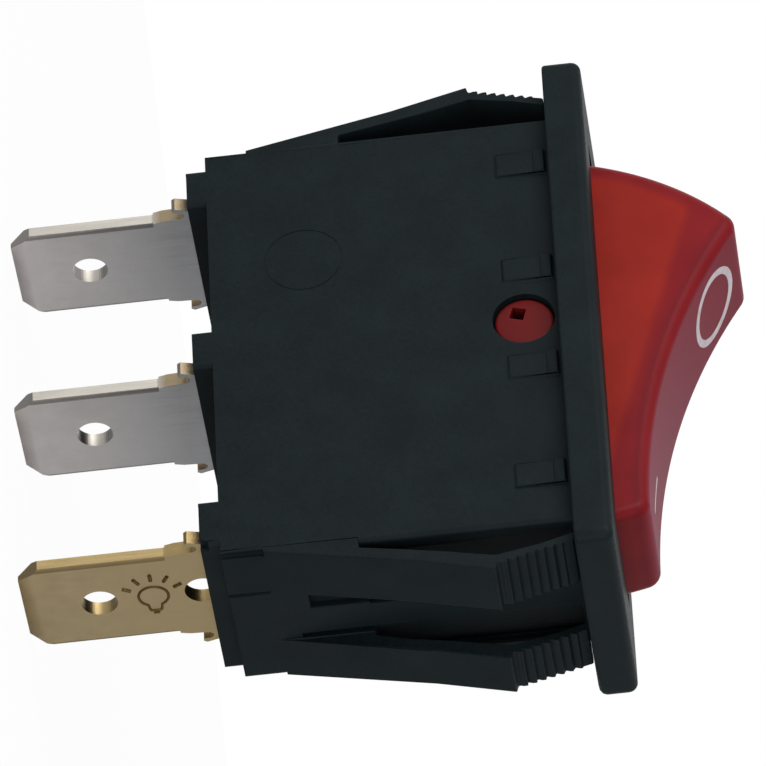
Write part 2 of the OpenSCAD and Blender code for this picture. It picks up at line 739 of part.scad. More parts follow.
module neon_glass() {
  color("LightPink", 0.5) on_rocker() translate([0, 0, lamp_up]) difference() {
    union() {
      translate([lamp_start, 0, 0]) rotate([0, 90, 0]) cylinder(r = glass_r, h = lamp_len);
      translate([lamp_end, 0, 0]) sphere(r = glass_r);
      translate([lamp_end + glass_r - 0.25, 0, 0]) sphere(r = 0.5);
    }
    translate([lamp_start + 1.1, 0, 0]) rotate([0, 90, 0])
      cylinder(r = glass_r - 0.35, h = lamp_len - 1.1);
    translate([lamp_end, 0, 0]) sphere(r = glass_r - 0.35);
    for (y = [-0.55, 0.55]) translate([lamp_start - 1, y, 0]) rotate([0, 90, 0])
      cylinder(r = lead_r + touch, h = 3);
  }
}

module neon_electrodes() {
  color("Silver") on_rocker() for (y = [-0.55, 0.55]) translate([0, y, lamp_up]) {
    translate([lamp_start, 0, 0]) rotate([0, 90, 0]) cylinder(r = lead_r, h = 1.6);
    translate([lamp_start + 1.5, 0, 0]) rotate([0, 90, 0]) cylinder(r = 0.35, h = 3.4);
  }
}

module lamp_lead_plunger() {
  color("Silver") on_rocker()
    round_wire(softened([[lamp_start - touch, -0.55, lamp_up], [2.5, -0.5, lamp_up],
                         [2.3, 0, bore_top - 0.4], [bore_r + touch, 0, bore_top - 0.4]], 2),
               lead_r, [0, 1, 0.3]);
}

module lamp_lead_resistor() {
  y = barrel_r + 0.2;
  color("Silver") on_rocker()
    round_wire(softened([[lamp_start - touch, 0.55, lamp_up], [2.5, 0.7, lamp_up], [2.4, y, 1.5],
                         [-2.4, y, 1.5], [-2.5, 0.2, lamp_up],
                         [-resistor_start + touch, 0, lamp_up]], 2),
               lead_r, [0, 0.5, -1]);
}

module resistor() {
  end_len = 0.9;
  color("Tan") on_rocker() translate([-resistor_start, 0, lamp_up]) rotate([0, -90, 0])
    rotate_extrude() {
      square([resistor_r - 0.15, resistor_len]);
      for (z = [0, resistor_len - end_len]) translate([0, z + 0.2]) square([resistor_r, end_len - 0.4]);
      for (z = [0.2, end_len - 0.2, resistor_len - end_len + 0.2, resistor_len - 0.2])
        translate([resistor_r - 0.2, z]) circle(r = 0.2);
    }
}

module resistor_lead() {
  color("Silver") on_rocker()
    round_wire(softened([[-resistor_start - resistor_len - touch, 0, lamp_up],
                         [-lamp_spring_x, 0, lamp_up], [-lamp_spring_x, 0, 1.35 + touch]], 2),
               lead_r, [0, 1, 0]);
}

module lamp_carrier() {
  low = 0.35;
  thick = 0.6;
  color("WhiteSmoke") on_rocker() difference() {
    union() {
      span([-11.2, -hollow_half + 0.05, low], [11.2, hollow_half - 0.05, low + thick]);
      span([lamp_start + 1.5, -1.6, low], [lamp_end - 0.5, 1.6, lamp_up - 0.8]);
      span([-resistor_start - resistor_len + 1.2, -1, low], [-resistor_start - 1.2, 1, lamp_up - 0.4]);
    }
    translate([0, 0, -1]) cylinder(r = barrel_r + 0.05, h = 4);
    translate([lamp_start, 0, lamp_up]) rotate([0, 90, 0]) cylinder(r = glass_r + touch, h = 8);
    translate([-resistor_start - 8, 0, lamp_up]) rotate([0, 90, 0])
      cylinder(r = resistor_r + touch, h = 9);
    translate([-lamp_spring_x, 0, 0]) cylinder(r = 0.37, h = 2);
  }
}

module lamp_spring() {
  wire_r = 0.2;
  drop = wire_r + touch;
  color("LightSteelBlue")
    round_wire(coil_path([-spring_foot_x, -lamp_shelf_depth + drop],
                         [-lamp_spring_x * cos(tilt) + drop * sin(tilt),
                          -pivot_depth - lamp_spring_x * sin(tilt) - drop * cos(tilt)],
                         tilt, 1.3, wire_r, 8),
               wire_r, [0, 0, 1]);
}

module lamp_spring_cap() {
  color("Khaki") on_rocker() translate([-lamp_spring_x, 0, 0]) {
    cylinder(r = 1.6, h = 0.3);
    translate([0, 0, -0.6]) cylinder(r1 = 0.6, r2 = 0.85, h = 0.61);
    cylinder(r = 0.35, h = 1.35);
  }
}
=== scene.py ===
"""Looks of the panel rocker switch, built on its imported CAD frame.

Every length in the classes is in millimetres, in the frame of the CAD model: z = 0 is
the underside of the bezel, +Z leaves the panel, +X runs towards the "off" end of the
rocker and +Y is across the width. Meshes are turned into metres as they are finished.
"""
import logging
import math
from collections.abc import Iterable, Sequence
from dataclasses import dataclass, field
from enum import Enum

import bmesh
import bpy
from mathutils import Matrix, Vector


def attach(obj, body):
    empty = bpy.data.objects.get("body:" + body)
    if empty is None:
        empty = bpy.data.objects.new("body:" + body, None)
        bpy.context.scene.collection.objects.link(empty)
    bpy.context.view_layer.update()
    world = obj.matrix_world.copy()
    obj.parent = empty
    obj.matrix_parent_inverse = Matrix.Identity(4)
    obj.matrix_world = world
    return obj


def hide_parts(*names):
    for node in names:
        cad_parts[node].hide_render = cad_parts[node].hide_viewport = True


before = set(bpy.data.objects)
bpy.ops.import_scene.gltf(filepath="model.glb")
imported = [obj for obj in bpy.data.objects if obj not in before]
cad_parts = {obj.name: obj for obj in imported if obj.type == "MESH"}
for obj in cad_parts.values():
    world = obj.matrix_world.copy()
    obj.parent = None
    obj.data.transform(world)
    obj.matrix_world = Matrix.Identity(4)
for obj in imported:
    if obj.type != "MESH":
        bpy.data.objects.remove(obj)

LOG = logging.getLogger("rocker_switch")
MM = 0.001

# The angle, in degrees, past which an edge stays sharp: on a mesh that is drawn, one
# that a node tree grows, and one that is carved or copied from the CAD part.
DRAWN_SHARP = 30.0
GROWN_SHARP = 40.0
WORKED_SHARP = 28.0
# Radius that stands for nought where a turned profile meets its axis.
AXIS = 0.01
# The range that most of a noise's values fall in.
NOISE = (0.3, 0.7)

Point2 = tuple[float, float]
Point3 = tuple[float, float, float]
Tree, Node, Socket = bpy.types.NodeTree, bpy.types.Node, bpy.types.NodeSocket
Object, Mesh, Material = bpy.types.Object, bpy.types.Mesh, bpy.types.Material


# ---- small helpers ----


def linear(colour: str) -> tuple[float, float, float, float]:
    """Turns an sRGB hex colour into linear RGBA.

    Args:
        colour: six hex digits, such as "20282B".

    Returns:
        The colour as Blender's shaders expect it.
    """
    parts = [int(colour[i:i + 2], 16) / 255 for i in (0, 2, 4)]
    r, g, b = (c / 12.92 if c <= 0.04045 else ((c + 0.055) / 1.055) ** 2.4 for c in parts)
    return r, g, b, 1.0


def per(size_mm: float) -> float:
    """Gives the texture scale at which one cell of a pattern measures size_mm."""
    return 1 / (size_mm * MM)


def add(tree: Tree, kind: str, inputs: dict | None = None, **settings) -> Node:
    """Adds a node, with its settings, values and links.

    Args:
        tree: the tree that gets the node.
        kind: the node's type name.
        inputs: value or linked socket for each input, by name or index.
        **settings: attributes of the node itself.

    Returns:
        The new node.
    """
    made = tree.nodes.new(kind)
    for name, value in settings.items():
        setattr(made, name, value)
    for key, value in (inputs or {}).items():
        if isinstance(value, Socket):
            tree.links.new(value, made.inputs[key])
        else:
            made.inputs[key].default_value = value
    return made


def bare_tree(owner: bpy.types.ID) -> Tree:
    """Gives the node tree of a material or a world, emptied."""
    owner.use_nodes = True
    owner.node_tree.nodes.clear()
    return owner.node_tree


def calculate(tree: Tree, operation: str, *values: float | Socket) -> Socket:
    """Adds a Math node on one or two values or sockets and gives its result."""
    return add(tree, "ShaderNodeMath", dict(enumerate(values)), operation=operation).outputs[0]


def fade(tree: Tree, value: Socket, start: float, end: float, low: float = 0.0,
         high: float = 1.0, smooth: bool = False) -> Socket:
    """Maps a value that runs from start to end onto low to high, and stops there.

    Args:
        tree: the tree that gets the node.
        value: the socket that is mapped.
        start: the value that gives low.
        end: the value that gives high.
        low: result at the start and before it.
        high: result at the end and past it.
        smooth: True eases the change at both ends.

    Returns:
        The mapped value's socket.
    """
    return add(tree, "ShaderNodeMapRange", {0: value, 1: start, 2: end, 3: low, 4: high},
               interpolation_type="SMOOTHSTEP" if smooth else "LINEAR").outputs[0]


def mix(tree: Tree, share: Socket, under: Socket | str, over: Socket | str) -> Socket:
    """Lays a share of one colour over another; each is a socket or a hex colour."""
    under, over = (linear(c) if isinstance(c, str) else c for c in (under, over))
    return add(tree, "ShaderNodeMix", {0: share, 6: under, 7: over},
               data_type="RGBA").outputs[2]


def placed(name: str, data: bpy.types.ID) -> Object:
    """Makes an object of a mesh, a lamp or a camera and links it to the scene."""
    made = bpy.data.objects.new(name, data)
    bpy.context.scene.collection.objects.link(made)
    return made


def face_outwards(mesh: Mesh, weld: float | None = None) -> None:
    """Turns a mesh's faces outwards.

    Args:
        mesh: the mesh to change.
        weld: the distance within which points are merged first, in metres, or None.
    """
    work = bmesh.new()
    work.from_mesh(mesh)
    if weld is not None:
        bmesh.ops.remove_doubles(work, verts=work.verts, dist=weld)
    bmesh.ops.recalc_face_normals(work, faces=work.faces)
    work.to_mesh(mesh)
    work.free()


def sharpen(mesh: Mesh, degrees: float) -> None:
    """Shades a mesh smooth, apart from edges that turn by more than an angle.

    Args:
        mesh: the mesh to shade.
        degrees: the angle between two faces past which their edge stays sharp.
    """
    work = bmesh.new()
    work.from_mesh(mesh)
    for face in work.faces:
        face.smooth = True
    for edge in work.edges:
        paired = len(edge.link_faces) == 2
        edge.smooth = paired and edge.calc_face_angle(0) < math.radians(degrees)
    work.to_mesh(mesh)
    work.free()


def bake_modifiers(obj: Object) -> Object:
    """Turns an object's modifiers into a plain mesh and removes them."""
    graph = bpy.context.evaluated_depsgraph_get()
    graph.update()
    mesh = bpy.data.meshes.new_from_object(obj.evaluated_get(graph), depsgraph=graph)
    obj.modifiers.clear()
    obj.data = mesh
    return obj


def settle(obj: Object, body: str, slot: str, *nodes: str) -> Object:
    """Hands a finished piece to the frame.

    Args:
        obj: the finished piece, at the origin.
        body: the CAD body that it moves with.
        slot: the record's material slot that its finish comes from; not used.
        *nodes: CAD nodes that the piece stands for.

    Returns:
        The same piece.
    """
    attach(obj, body)
    if nodes:
        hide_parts(*nodes)
    LOG.info("%s rides on %s, %d faces", obj.name, body, len(obj.data.polygons))
    return obj


@dataclass
class Draft:
    """A mesh as it is drawn up, in millimetres."""

    points: list[Vector] = field(default_factory=list)
    faces: list[tuple[int, ...]] = field(default_factory=list)

    def loft(self, rings: Sequence[Sequence[Sequence[float]]], wrap: bool = False) -> "Draft":
        """Joins closed rings of points into a closed skin.

        Args:
            rings: rings with the same number of points each.
            wrap: True joins the last ring to the first, and False caps both ends.

        Returns:
            The draft itself.
        """
        start, size = len(self.points), len(rings[0])
        for ring in rings:
            self.points.extend(Vector(p) for p in ring)
        count = len(rings)
        for i in range(count if wrap else count - 1):
            a, b = start + i * size, start + (i + 1) % count * size
            for j in range(size):
                k = (j + 1) % size
                self.faces.append((a + j, a + k, b + k, b + j))
        if not wrap:
            self.faces.append(tuple(range(start + size - 1, start - 1, -1)))
            last = start + (count - 1) * size
            self.faces.append(tuple(range(last, last + size)))
        return self

    def lathe(self, profile: Sequence[Point2], place: Matrix, steps: int = 64) -> "Draft":
        """Turns a profile of (radius, height) pairs about the local Z axis.

        Args:
            profile: the pairs from one end to the other; a closed loop for a tube.
            place: turns and moves the local frame.
            steps: points round the axis.

        Returns:
            The draft itself.
        """
        rings = [[place @ Vector((r * math.cos(t), r * math.sin(t), h))
                  for t in (2 * math.pi * j / steps for j in range(steps))]
                 for r, h in profile]
        return self.loft(rings, wrap=profile[0] == profile[-1])

    def obj(self, name: str, material: Material | None = None) -> Object:
        """Makes the draft an object at the origin, with its faces pointing outwards.

        Args:
            name: name of the object and its mesh.
            material: its finish, or None for a tool that only cuts.

        Returns:
            The new object, linked to the scene.
        """
        mesh = bpy.data.meshes.new(name)
        mesh.from_pydata([p * MM for p in self.points], [], self.faces)
        face_outwards(mesh, weld=1e-7)
        sharpen(mesh, DRAWN_SHARP)
        if material:
            mesh.materials.append(material)
        return placed(name, mesh)


class Cut(Enum):
    """How a tool changes a piece."""

    TAKE = "DIFFERENCE"
    JOIN = "UNION"


def carve(piece: Object, tool: Object, how: Cut) -> Object:
    """Cuts a tool out of a piece, or joins it on, and throws the tool away."""
    change = piece.modifiers.new("carve", "BOOLEAN")
    change.operation, change.object, change.solver = how.value, tool, "EXACT"
    bake_modifiers(piece)
    bpy.data.objects.remove(tool)
    return piece


# ---- finishes ----


@dataclass(frozen=True)
class Finish:
    """What every finish has: a name and a slot in the record."""

    name: str
    slot: str

    def material(self) -> Material:
        """Gives the finish's material, made once."""
        found = bpy.data.materials.get(self.name)
        if found:
            return found
        made = bpy.data.materials.new(self.name)
        tree = bare_tree(made)
        shader = self.shade(tree, add(tree, "ShaderNodeTexCoord").outputs["Object"])
        add(tree, "ShaderNodeOutputMaterial", {"Surface": shader.outputs[0]})
        return made

    def shade(self, tree: Tree, place: Socket) -> Node:
        """Builds the shader; each finish has its own."""
        raise NotImplementedError

    def noise(self, tree: Tree, place: Socket, size_mm: float, detail: float = 3.0) -> Socket:
        """Adds a noise whose cells measure size_mm and gives its value."""
        return add(tree, "ShaderNodeTexNoise",
                   {"Vector": place, "Scale": per(size_mm), "Detail": detail}).outputs[0]

    def blend(self, tree: Tree, factor: Socket, low: str, high: str,
              start: float = 0.35, end: float = 0.65) -> Socket:
        """Blends two hex colours by a factor that runs from start to end."""
        ramp = add(tree, "ShaderNodeValToRGB", {0: factor})
        for stop, at, colour in zip(ramp.color_ramp.elements, (start, end), (low, high)):
            stop.position, stop.color = at, linear(colour)
        return ramp.outputs[0]

    def spread(self, tree: Tree, factor: Socket, low: float, high: float) -> Socket:
        """Maps a noise's middle range onto low to high."""
        return fade(tree, factor, *NOISE, low, high)

    def bump(self, tree: Tree, height: Socket, depth_mm: float,
             after: Socket | None = None) -> Socket:
        """Adds a bump of a real depth, on top of an earlier one if given."""
        inputs = {"Height": height, "Distance": depth_mm * MM, "Strength": 1.0}
        if after:
            inputs["Normal"] = after
        return add(tree, "ShaderNodeBump", inputs).outputs[0]


@dataclass(frozen=True)
class MouldedNylon(Finish):
    """Glass-filled nylon from a spark-eroded mould: a dull black skin with a fine grain,
    a slow waviness from shrinkage and a cloudy, dusty bloom."""

    dark: str = "0D1416"
    bloom: str = "171F21"
    grain_mm: float = 0.16
    grain_depth: float = 0.012
    wave_mm: float = 2.6
    wave_depth: float = 0.03
    rough: Point2 = (0.42, 0.6)

    def shade(self, tree: Tree, place: Socket) -> Node:
        """Builds the black moulded skin."""
        cloud = self.noise(tree, place, self.wave_mm, 5.0)
        grain = self.noise(tree, place, self.grain_mm, 2.0)
        waves = self.bump(tree, cloud, self.wave_depth)
        normal = self.bump(tree, grain, self.grain_depth, waves)
        dust = calculate(tree, "MULTIPLY", calculate(tree, "ADD", cloud, grain), 0.5)
        return add(tree, "ShaderNodeBsdfPrincipled", {
            "Base Color": self.blend(tree, dust, self.dark, self.bloom, *NOISE),
            "Roughness": self.spread(tree, grain, *self.rough), "Normal": normal,
            "IOR": 1.53, "Specular IOR Level": 0.06})


@dataclass(frozen=True)
class TintedPolycarbonate(Finish):
    """Gloss-moulded translucent red polycarbonate. Where the rocker is hollow its thin
    wall gets a brighter red, a painted glow of light through it; the solid rim, the face and the
    ends are deeper in colour. A painted shade darkens the rounded rim and the trunnions, and a
    painted sheen lightens the face at grazing angles."""

    # Colours; a cloud colour goes with the one before it.
    # Painted glow of light through the thin wall over the hollow, and its cloud.
    glow_red: str = "841C13"
    glow_red_cloud: str = "8C2117"
    solid: str = "711017"
    solid_cloud: str = "7A151A"
    # Painted sheen on the face where it is seen at a grazing angle.
    face_sheen: str = "803847"
    # Painted shade on the rounded rim between the sides and the face.
    rim: str = "4A101A"
    # Painted shade of the housing's bores on the trunnions.
    bore_shade: str = "5C1112"
    # Where the colours lie: the CAD rocker's sizes, and how softly they meet.
    pivot_z: float = -1.9
    tilt: float = -17.0
    end_centre: Point2 = (-3.6, 0.1)
    cavity_r: float = 15.15
    ceiling: float = 6.25
    softness: float = 0.35
    face_top: float = 41.55
    face_r: float = 34.0
    face_depth: Point2 = (0.06, 0.8)
    rim_shade_depth: Point2 = (0.35, 1.1)
    rim_shade_strength: float = 0.5
    sheen_angle: Point2 = (0.4, 0.85)
    bore_shade_y: Point2 = (3.6, 3.8)
    # Roughness of the polished sides, and of the face.
    gloss: Point2 = (0.36, 0.46)
    face_rough: float = 0.6

    def over_hollow(self, tree: Tree, flat: Socket, height: Socket) -> Socket:
        """Tells where the wall has the hollow behind it.

        Args:
            tree: the material's tree.
            flat: the place, untilted, with |x| and z only.
            height: its z.

        Returns:
            A value that is 1 over the hollow and 0 over the solid parts.
        """
        centre = (self.end_centre[0] * MM, 0, (self.end_centre[1] + self.pivot_z) * MM)
        reach = add(tree, "ShaderNodeVectorMath", {0: flat, 1: centre}, operation="DISTANCE")
        ends, top = (fade(tree, value, (at - self.softness) * MM, (at + self.softness) * MM,
                          1.0, 0.0, smooth=True)
                     for value, at in ((reach.outputs["Value"], self.cavity_r),
                                       (height, self.ceiling + self.pivot_z)))
        return calculate(tree, "MULTIPLY", ends, top)

    def shade(self, tree: Tree, place: Socket) -> Node:
        """Builds the translucent red, with a painted glow over the hollow, painted shade on the
        rim and the trunnions and a painted sheen on the face.
        """
        own = add(tree, "ShaderNodeVectorRotate", {
            "Vector": place, "Center": (0, 0, self.pivot_z * MM), "Axis": (0, 1, 0),
            "Angle": math.radians(-self.tilt)}, rotation_type="AXIS_ANGLE").outputs[0]
        parts = add(tree, "ShaderNodeSeparateXYZ", {0: own})
        side = calculate(tree, "ABSOLUTE", parts.outputs[0])
        flat = add(tree, "ShaderNodeCombineXYZ", {0: side, 2: parts.outputs[2]}).outputs[0]
        hollow = self.over_hollow(tree, flat, parts.outputs[2])
        cloud = self.noise(tree, place, 3.0)
        deep = self.blend(tree, cloud, self.solid, self.solid_cloud)
        # The brighter red over the hollow is a painted glow of light through the thin wall.
        painted_glow = self.blend(tree, cloud, self.glow_red, self.glow_red_cloud)
        skin = mix(tree, hollow, deep, painted_glow)
        middle = (0, 0, (self.face_top + self.pivot_z) * MM)
        depth = add(tree, "ShaderNodeVectorMath", {0: flat, 1: middle}, operation="DISTANCE")
        front, rim = (fade(tree, depth.outputs["Value"], (self.face_r + near) * MM,
                           (self.face_r + far) * MM, share, 0.0, smooth=True)
                      for (near, far), share in ((self.face_depth, 1.0),
                                                 (self.rim_shade_depth, self.rim_shade_strength)))
        # A painted shade darkens the rounded rim between the sides and the face.
        narrow = calculate(tree, "MULTIPLY", rim, calculate(tree, "SUBTRACT", 1.0, front))
        rim_shaded = mix(tree, narrow, skin, self.rim)
        # A painted sheen lightens the face where it is seen at a grazing angle.
        facing = add(tree, "ShaderNodeLayerWeight", {"Blend": 0.5}).outputs["Facing"]
        sheen_share = calculate(tree, "MULTIPLY", front, fade(tree, facing, *self.sheen_angle))
        sheened = mix(tree, sheen_share, rim_shaded, self.face_sheen)
        # A painted shade of the bores darkens the trunnions.
        across = add(tree, "ShaderNodeSeparateXYZ", {0: place}).outputs[1]
        bore_shade = fade(tree, calculate(tree, "ABSOLUTE", across), *(y * MM for y in self.bore_shade_y))
        scuff = self.noise(tree, place, 0.5, 4.0)
        gloss = self.spread(tree, scuff, *self.gloss)
        rough = add(tree, "ShaderNodeMix", {0: front, 2: gloss, 3: self.face_rough},
                    data_type="FLOAT").outputs[0]
        return add(tree, "ShaderNodeBsdfPrincipled", {
            "Base Color": mix(tree, bore_shade, sheened, self.bore_shade), "Roughness": rough,
            "IOR": 1.585, "Specular IOR Level": 0.08, "Subsurface Weight": 0.3,
            "Subsurface Radius": (1.0, 0.12, 0.08), "Subsurface Scale": 0.9 * MM,
            "Normal": self.bump(tree, scuff, 0.003)})


@dataclass(frozen=True)
class PlatedBlade(Finish):
    """Stamped strip metal, rolled along the blade: fine lengthwise streaks, a slight
    mottle in the plating and a soft sheen."""

    # The flat face and its mottle, and the painted dark reflection of the housing that the face
    # turns to near the body.
    base: str = "DCD5D3"
    shade_hex: str = "CEC7C5"
    root_reflection_hex: str = "8E8E8F"
    # The cut edges, the painted beige reflection on them by the horns beside the body, and the
    # line between face and edge.
    cut_hex: str = "D2CCC2"
    horn_reflection_hex: str = "A8967A"
    line_hex: str = "6B6763"
    # Where the painted reflection of the housing darkens the face, and where the horns and the
    # painted beige reflection by them begin.
    face_z: Point2 = (-29.2, -20.4)
    horn_z: Point2 = (-21.5, -21.0)
    # How far a surface leans sideways where the line and the cut edge show.
    line_lean: Point2 = (0.12, 0.4)
    line_share: float = 0.7
    cut_lean: Point2 = (0.8, 0.95)
    roughness: float = 0.36
    streak_mm: float = 0.12

    def shade(self, tree: Tree, place: Socket) -> Node:
        """Builds the rolled metal, its streaks running along Z."""
        stretched = add(tree, "ShaderNodeMapping", {"Vector": place, "Scale": (1, 1, 0.06)})
        streak = self.noise(tree, stretched.outputs[0], self.streak_mm, 3.0)
        mottle = self.noise(tree, place, 0.9, 6.0)
        grain = self.noise(tree, place, 0.14, 2.0)
        along = add(tree, "ShaderNodeSeparateXYZ", {0: place}).outputs[2]
        face = self.blend(tree, mottle, self.shade_hex, self.base, 0.2, 0.8)
        # Towards the body a painted reflection of the dark housing darkens the face.
        near = fade(tree, along, *(z * MM for z in self.face_z))
        housing_reflection = mix(tree, near, face, self.root_reflection_hex)
        flat = add(tree, "ShaderNodeNewGeometry").outputs["True Normal"]
        across = add(tree, "ShaderNodeSeparateXYZ", {0: flat}).outputs[1]
        lean = calculate(tree, "ABSOLUTE", across)
        line = fade(tree, lean, *self.line_lean, 0.0, self.line_share)
        edged = mix(tree, line, housing_reflection, self.line_hex)
        # Near the horns the cut edges turn beige, a painted reflection.
        staked = fade(tree, along, *(z * MM for z in self.horn_z))
        horn_edge_reflection = mix(tree, staked, self.cut_hex, self.horn_reflection_hex)
        colour = mix(tree, fade(tree, lean, *self.cut_lean), edged, horn_edge_reflection)
        rough = self.spread(tree, streak, self.roughness - 0.06, self.roughness + 0.08)
        return add(tree, "ShaderNodeBsdfPrincipled", {
            "Base Color": colour, "Metallic": 1.0, "Roughness": rough,
            "Normal": self.bump(tree, streak, 0.002, self.bump(tree, grain, 0.004))})


@dataclass(frozen=True)
class PlainMetal(Finish):
    """Drawn or turned metal: one colour with a fine even grain."""

    base: str = "B9B6B0"
    dull: str = "8F8C86"
    roughness: float = 0.3

    def shade(self, tree: Tree, place: Socket) -> Node:
        """Builds the even metal."""
        mottle = self.noise(tree, place, 0.6, 4.0)
        return add(tree, "ShaderNodeBsdfPrincipled", {
            "Base Color": self.blend(tree, mottle, self.dull, self.base), "Metallic": 1.0,
            "Roughness": self.spread(tree, mottle, self.roughness - 0.05, self.roughness + 0.07)})


@dataclass(frozen=True)
class PlainSkin(Finish):
    """Matt plastic, lacquer or ink: one colour, clouded a little."""

    base: str = "CFCBC2"
    dull: str = "BDB9B0"
    roughness: float = 0.5
    ior: float = 1.5

    def shade(self, tree: Tree, place: Socket) -> Node:
        """Builds the matt skin."""
        cloud = self.noise(tree, place, 0.5, 4.0)
        return add(tree, "ShaderNodeBsdfPrincipled", {
            "Base Color": self.blend(tree, cloud, self.dull, self.base),
            "Roughness": self.spread(tree, cloud, self.roughness - 0.06, self.roughness + 0.06),
            "IOR": self.ior, "Normal": self.bump(tree, cloud, 0.002)})


@dataclass(frozen=True)
class LampGlass(Finish):
    """Blown soda glass of the neon lamp: clear, with a trace of smoke."""

    tint: str = "F4EFE8"
    smoke: str = "E9E2DA"

    def shade(self, tree: Tree, place: Socket) -> Node:
        """Builds the clear glass."""
        wave = self.noise(tree, place, 1.5)
        return add(tree, "ShaderNodeBsdfPrincipled", {
            "Base Color": self.blend(tree, wave, self.smoke, self.tint), "Roughness": 0.03,
            "IOR": 1.52, "Transmission Weight": 1.0, "Normal": self.bump(tree, wave, 0.004)})


NYLON = MouldedNylon("black_glass_filled_nylon", "housing_black")
RED_LENS = TintedPolycarbonate("translucent_red_polycarbonate", "rocker_red")
NICKEL = PlatedBlade("dull_nickel_plated_strip", "nickel")
BRASS = PlatedBlade("rolled_brass_strip", "brass", base="B3A07D", shade_hex="A3916F",
                    root_reflection_hex="9C8A68", cut_hex="BDA677", horn_reflection_hex="AD9568",
                    line_hex="6B5A3A", roughness=0.34)
# Dark brass for the lamp sign's lines: painted shade of the stamped grooves.
SIGN_GROOVE_SHADE = PlainMetal("brass_groove_painted_shade", "brass", base="66512E", dull="524022", roughness=0.5)
TURNED_BRASS = PlainMetal("turned_brass", "brass", base="C2A052", dull="A8873F")
LEVER_BRASS = PlainMetal("spring_brass_strip", "lever_brass", base="B98E56", dull="A07846")
SILVER = PlainMetal("silver_contact_metal", "silver", base="D8D7D2", dull="B4B3AE",
                    roughness=0.22)
SPRING_WIRE = PlainMetal("drawn_spring_wire", "spring_steel", base="A9A9A9", dull="8C8C8C",
                         roughness=0.25)
TINNED_WIRE = PlainMetal("tinned_lead_wire", "nickel", base="C0BDB6", dull="A19E97",
                         roughness=0.28)
GLASS = LampGlass("neon_lamp_glass", "lamp_glass")
LACQUER = PlainSkin("tan_resistor_lacquer", "resistor_body", base="C7A36A", dull="B28F58",
                    roughness=0.4)
CARRIER = PlainSkin("white_lamp_carrier_plastic", "carrier_white")
INK = PlainSkin("pale_pad_printing_ink", "rocker_red", base="D9CDD0", dull="C6B6BA",
                roughness=0.55)


# ---- Geometry Nodes ----


class NodeTool:
    """A Geometry Nodes tree with named inputs for its sizes."""

    name = "tool"
    inputs: dict[str, str] = {}

    def __init__(self) -> None:
        """Builds the tree, with one socket for each named input."""
        self.tree = bpy.data.node_groups.new(self.name, "GeometryNodeTree")
        self.sockets: dict[str, str] = {}
        face = self.tree.interface
        face.new_socket("Geometry", in_out="INPUT", socket_type="NodeSocketGeometry")
        face.new_socket("Geometry", in_out="OUTPUT", socket_type="NodeSocketGeometry")
        for label, kind in self.inputs.items():
            made = face.new_socket(label, in_out="INPUT", socket_type=kind)
            self.sockets[label] = made.identifier
        source = self.tree.nodes.new("NodeGroupInput")
        shape = self.build({s.name: s for s in source.outputs})
        real = add(self.tree, "GeometryNodeRealizeInstances", {0: shape})
        finish = add(self.tree, "GeometryNodeSetMaterial",
                     {"Geometry": real.outputs[0], "Material": source.outputs["Finish"]})
        add(self.tree, "NodeGroupOutput", {0: finish.outputs[0]})

    def build(self, given: dict[str, Socket]) -> Socket:
        """Builds the shape; each tool has its own."""
        raise NotImplementedError

    def grow(self, obj: Object, **values) -> Object:
        """Runs the tree on an object and leaves a plain mesh.

        Args:
            obj: the object that carries the path or points.
            **values: a value for each input, its name in lower case with underscores.

        Returns:
            The same object, with its new mesh.
        """
        change = obj.modifiers.new(self.name, "NODES")
        change.node_group = self.tree
        for label, identifier in self.sockets.items():
            change[identifier] = values[label.lower().replace(" ", "_")]
        bake_modifiers(obj)
        face_outwards(obj.data)
        sharpen(obj.data, GROWN_SHARP)
        return obj


class WireTool(NodeTool):
    """Draws a round wire along the edges of a path."""

    name = "round_wire"
    inputs = {"Wire Radius": "NodeSocketFloat", "Sides": "NodeSocketInt",
              "Finish": "NodeSocketMaterial"}

    def build(self, given: dict[str, Socket]) -> Socket:
        """Sweeps a circle along the path and closes the ends."""
        path = add(self.tree, "GeometryNodeMeshToCurve", {0: given["Geometry"]})
        ring = add(self.tree, "GeometryNodeCurvePrimitiveCircle",
                   {"Resolution": given["Sides"], "Radius": given["Wire Radius"]})
        return add(self.tree, "GeometryNodeCurveToMesh",
                   {"Curve": path.outputs[0], "Profile Curve": ring.outputs[0],
                    "Fill Caps": True}).outputs[0]


class RibTool(NodeTool):
    """Lays equal round ribs across Y, one at each point of the piece's mesh."""

    name = "grip_ribs"
    inputs = {"Rib Radius": "NodeSocketFloat", "Rib Length": "NodeSocketFloat",
              "Finish": "NodeSocketMaterial"}

    def build(self, given: dict[str, Socket]) -> Socket:
        """Puts a swept bar, closed at both ends, at each point."""
        half = calculate(self.tree, "MULTIPLY", given["Rib Length"], 0.5)
        back = calculate(self.tree, "MULTIPLY", half, -1.0)
        line = add(self.tree, "GeometryNodeCurvePrimitiveLine", {
            "Start": add(self.tree, "ShaderNodeCombineXYZ", {1: back}).outputs[0],
            "End": add(self.tree, "ShaderNodeCombineXYZ", {1: half}).outputs[0]})
        fine = add(self.tree, "GeometryNodeResampleCurve", {"Curve": line.outputs[0], "Count": 9})
        ring = add(self.tree, "GeometryNodeCurvePrimitiveCircle",
                   {"Resolution": 16, "Radius": given["Rib Radius"]})
        bar = add(self.tree, "GeometryNodeCurveToMesh",
                  {"Curve": fine.outputs[0], "Profile Curve": ring.outputs[0], "Fill Caps": True})
        return add(self.tree, "GeometryNodeInstanceOnPoints",
                   {"Points": given["Geometry"], "Instance": bar.outputs[0]}).outputs[0]


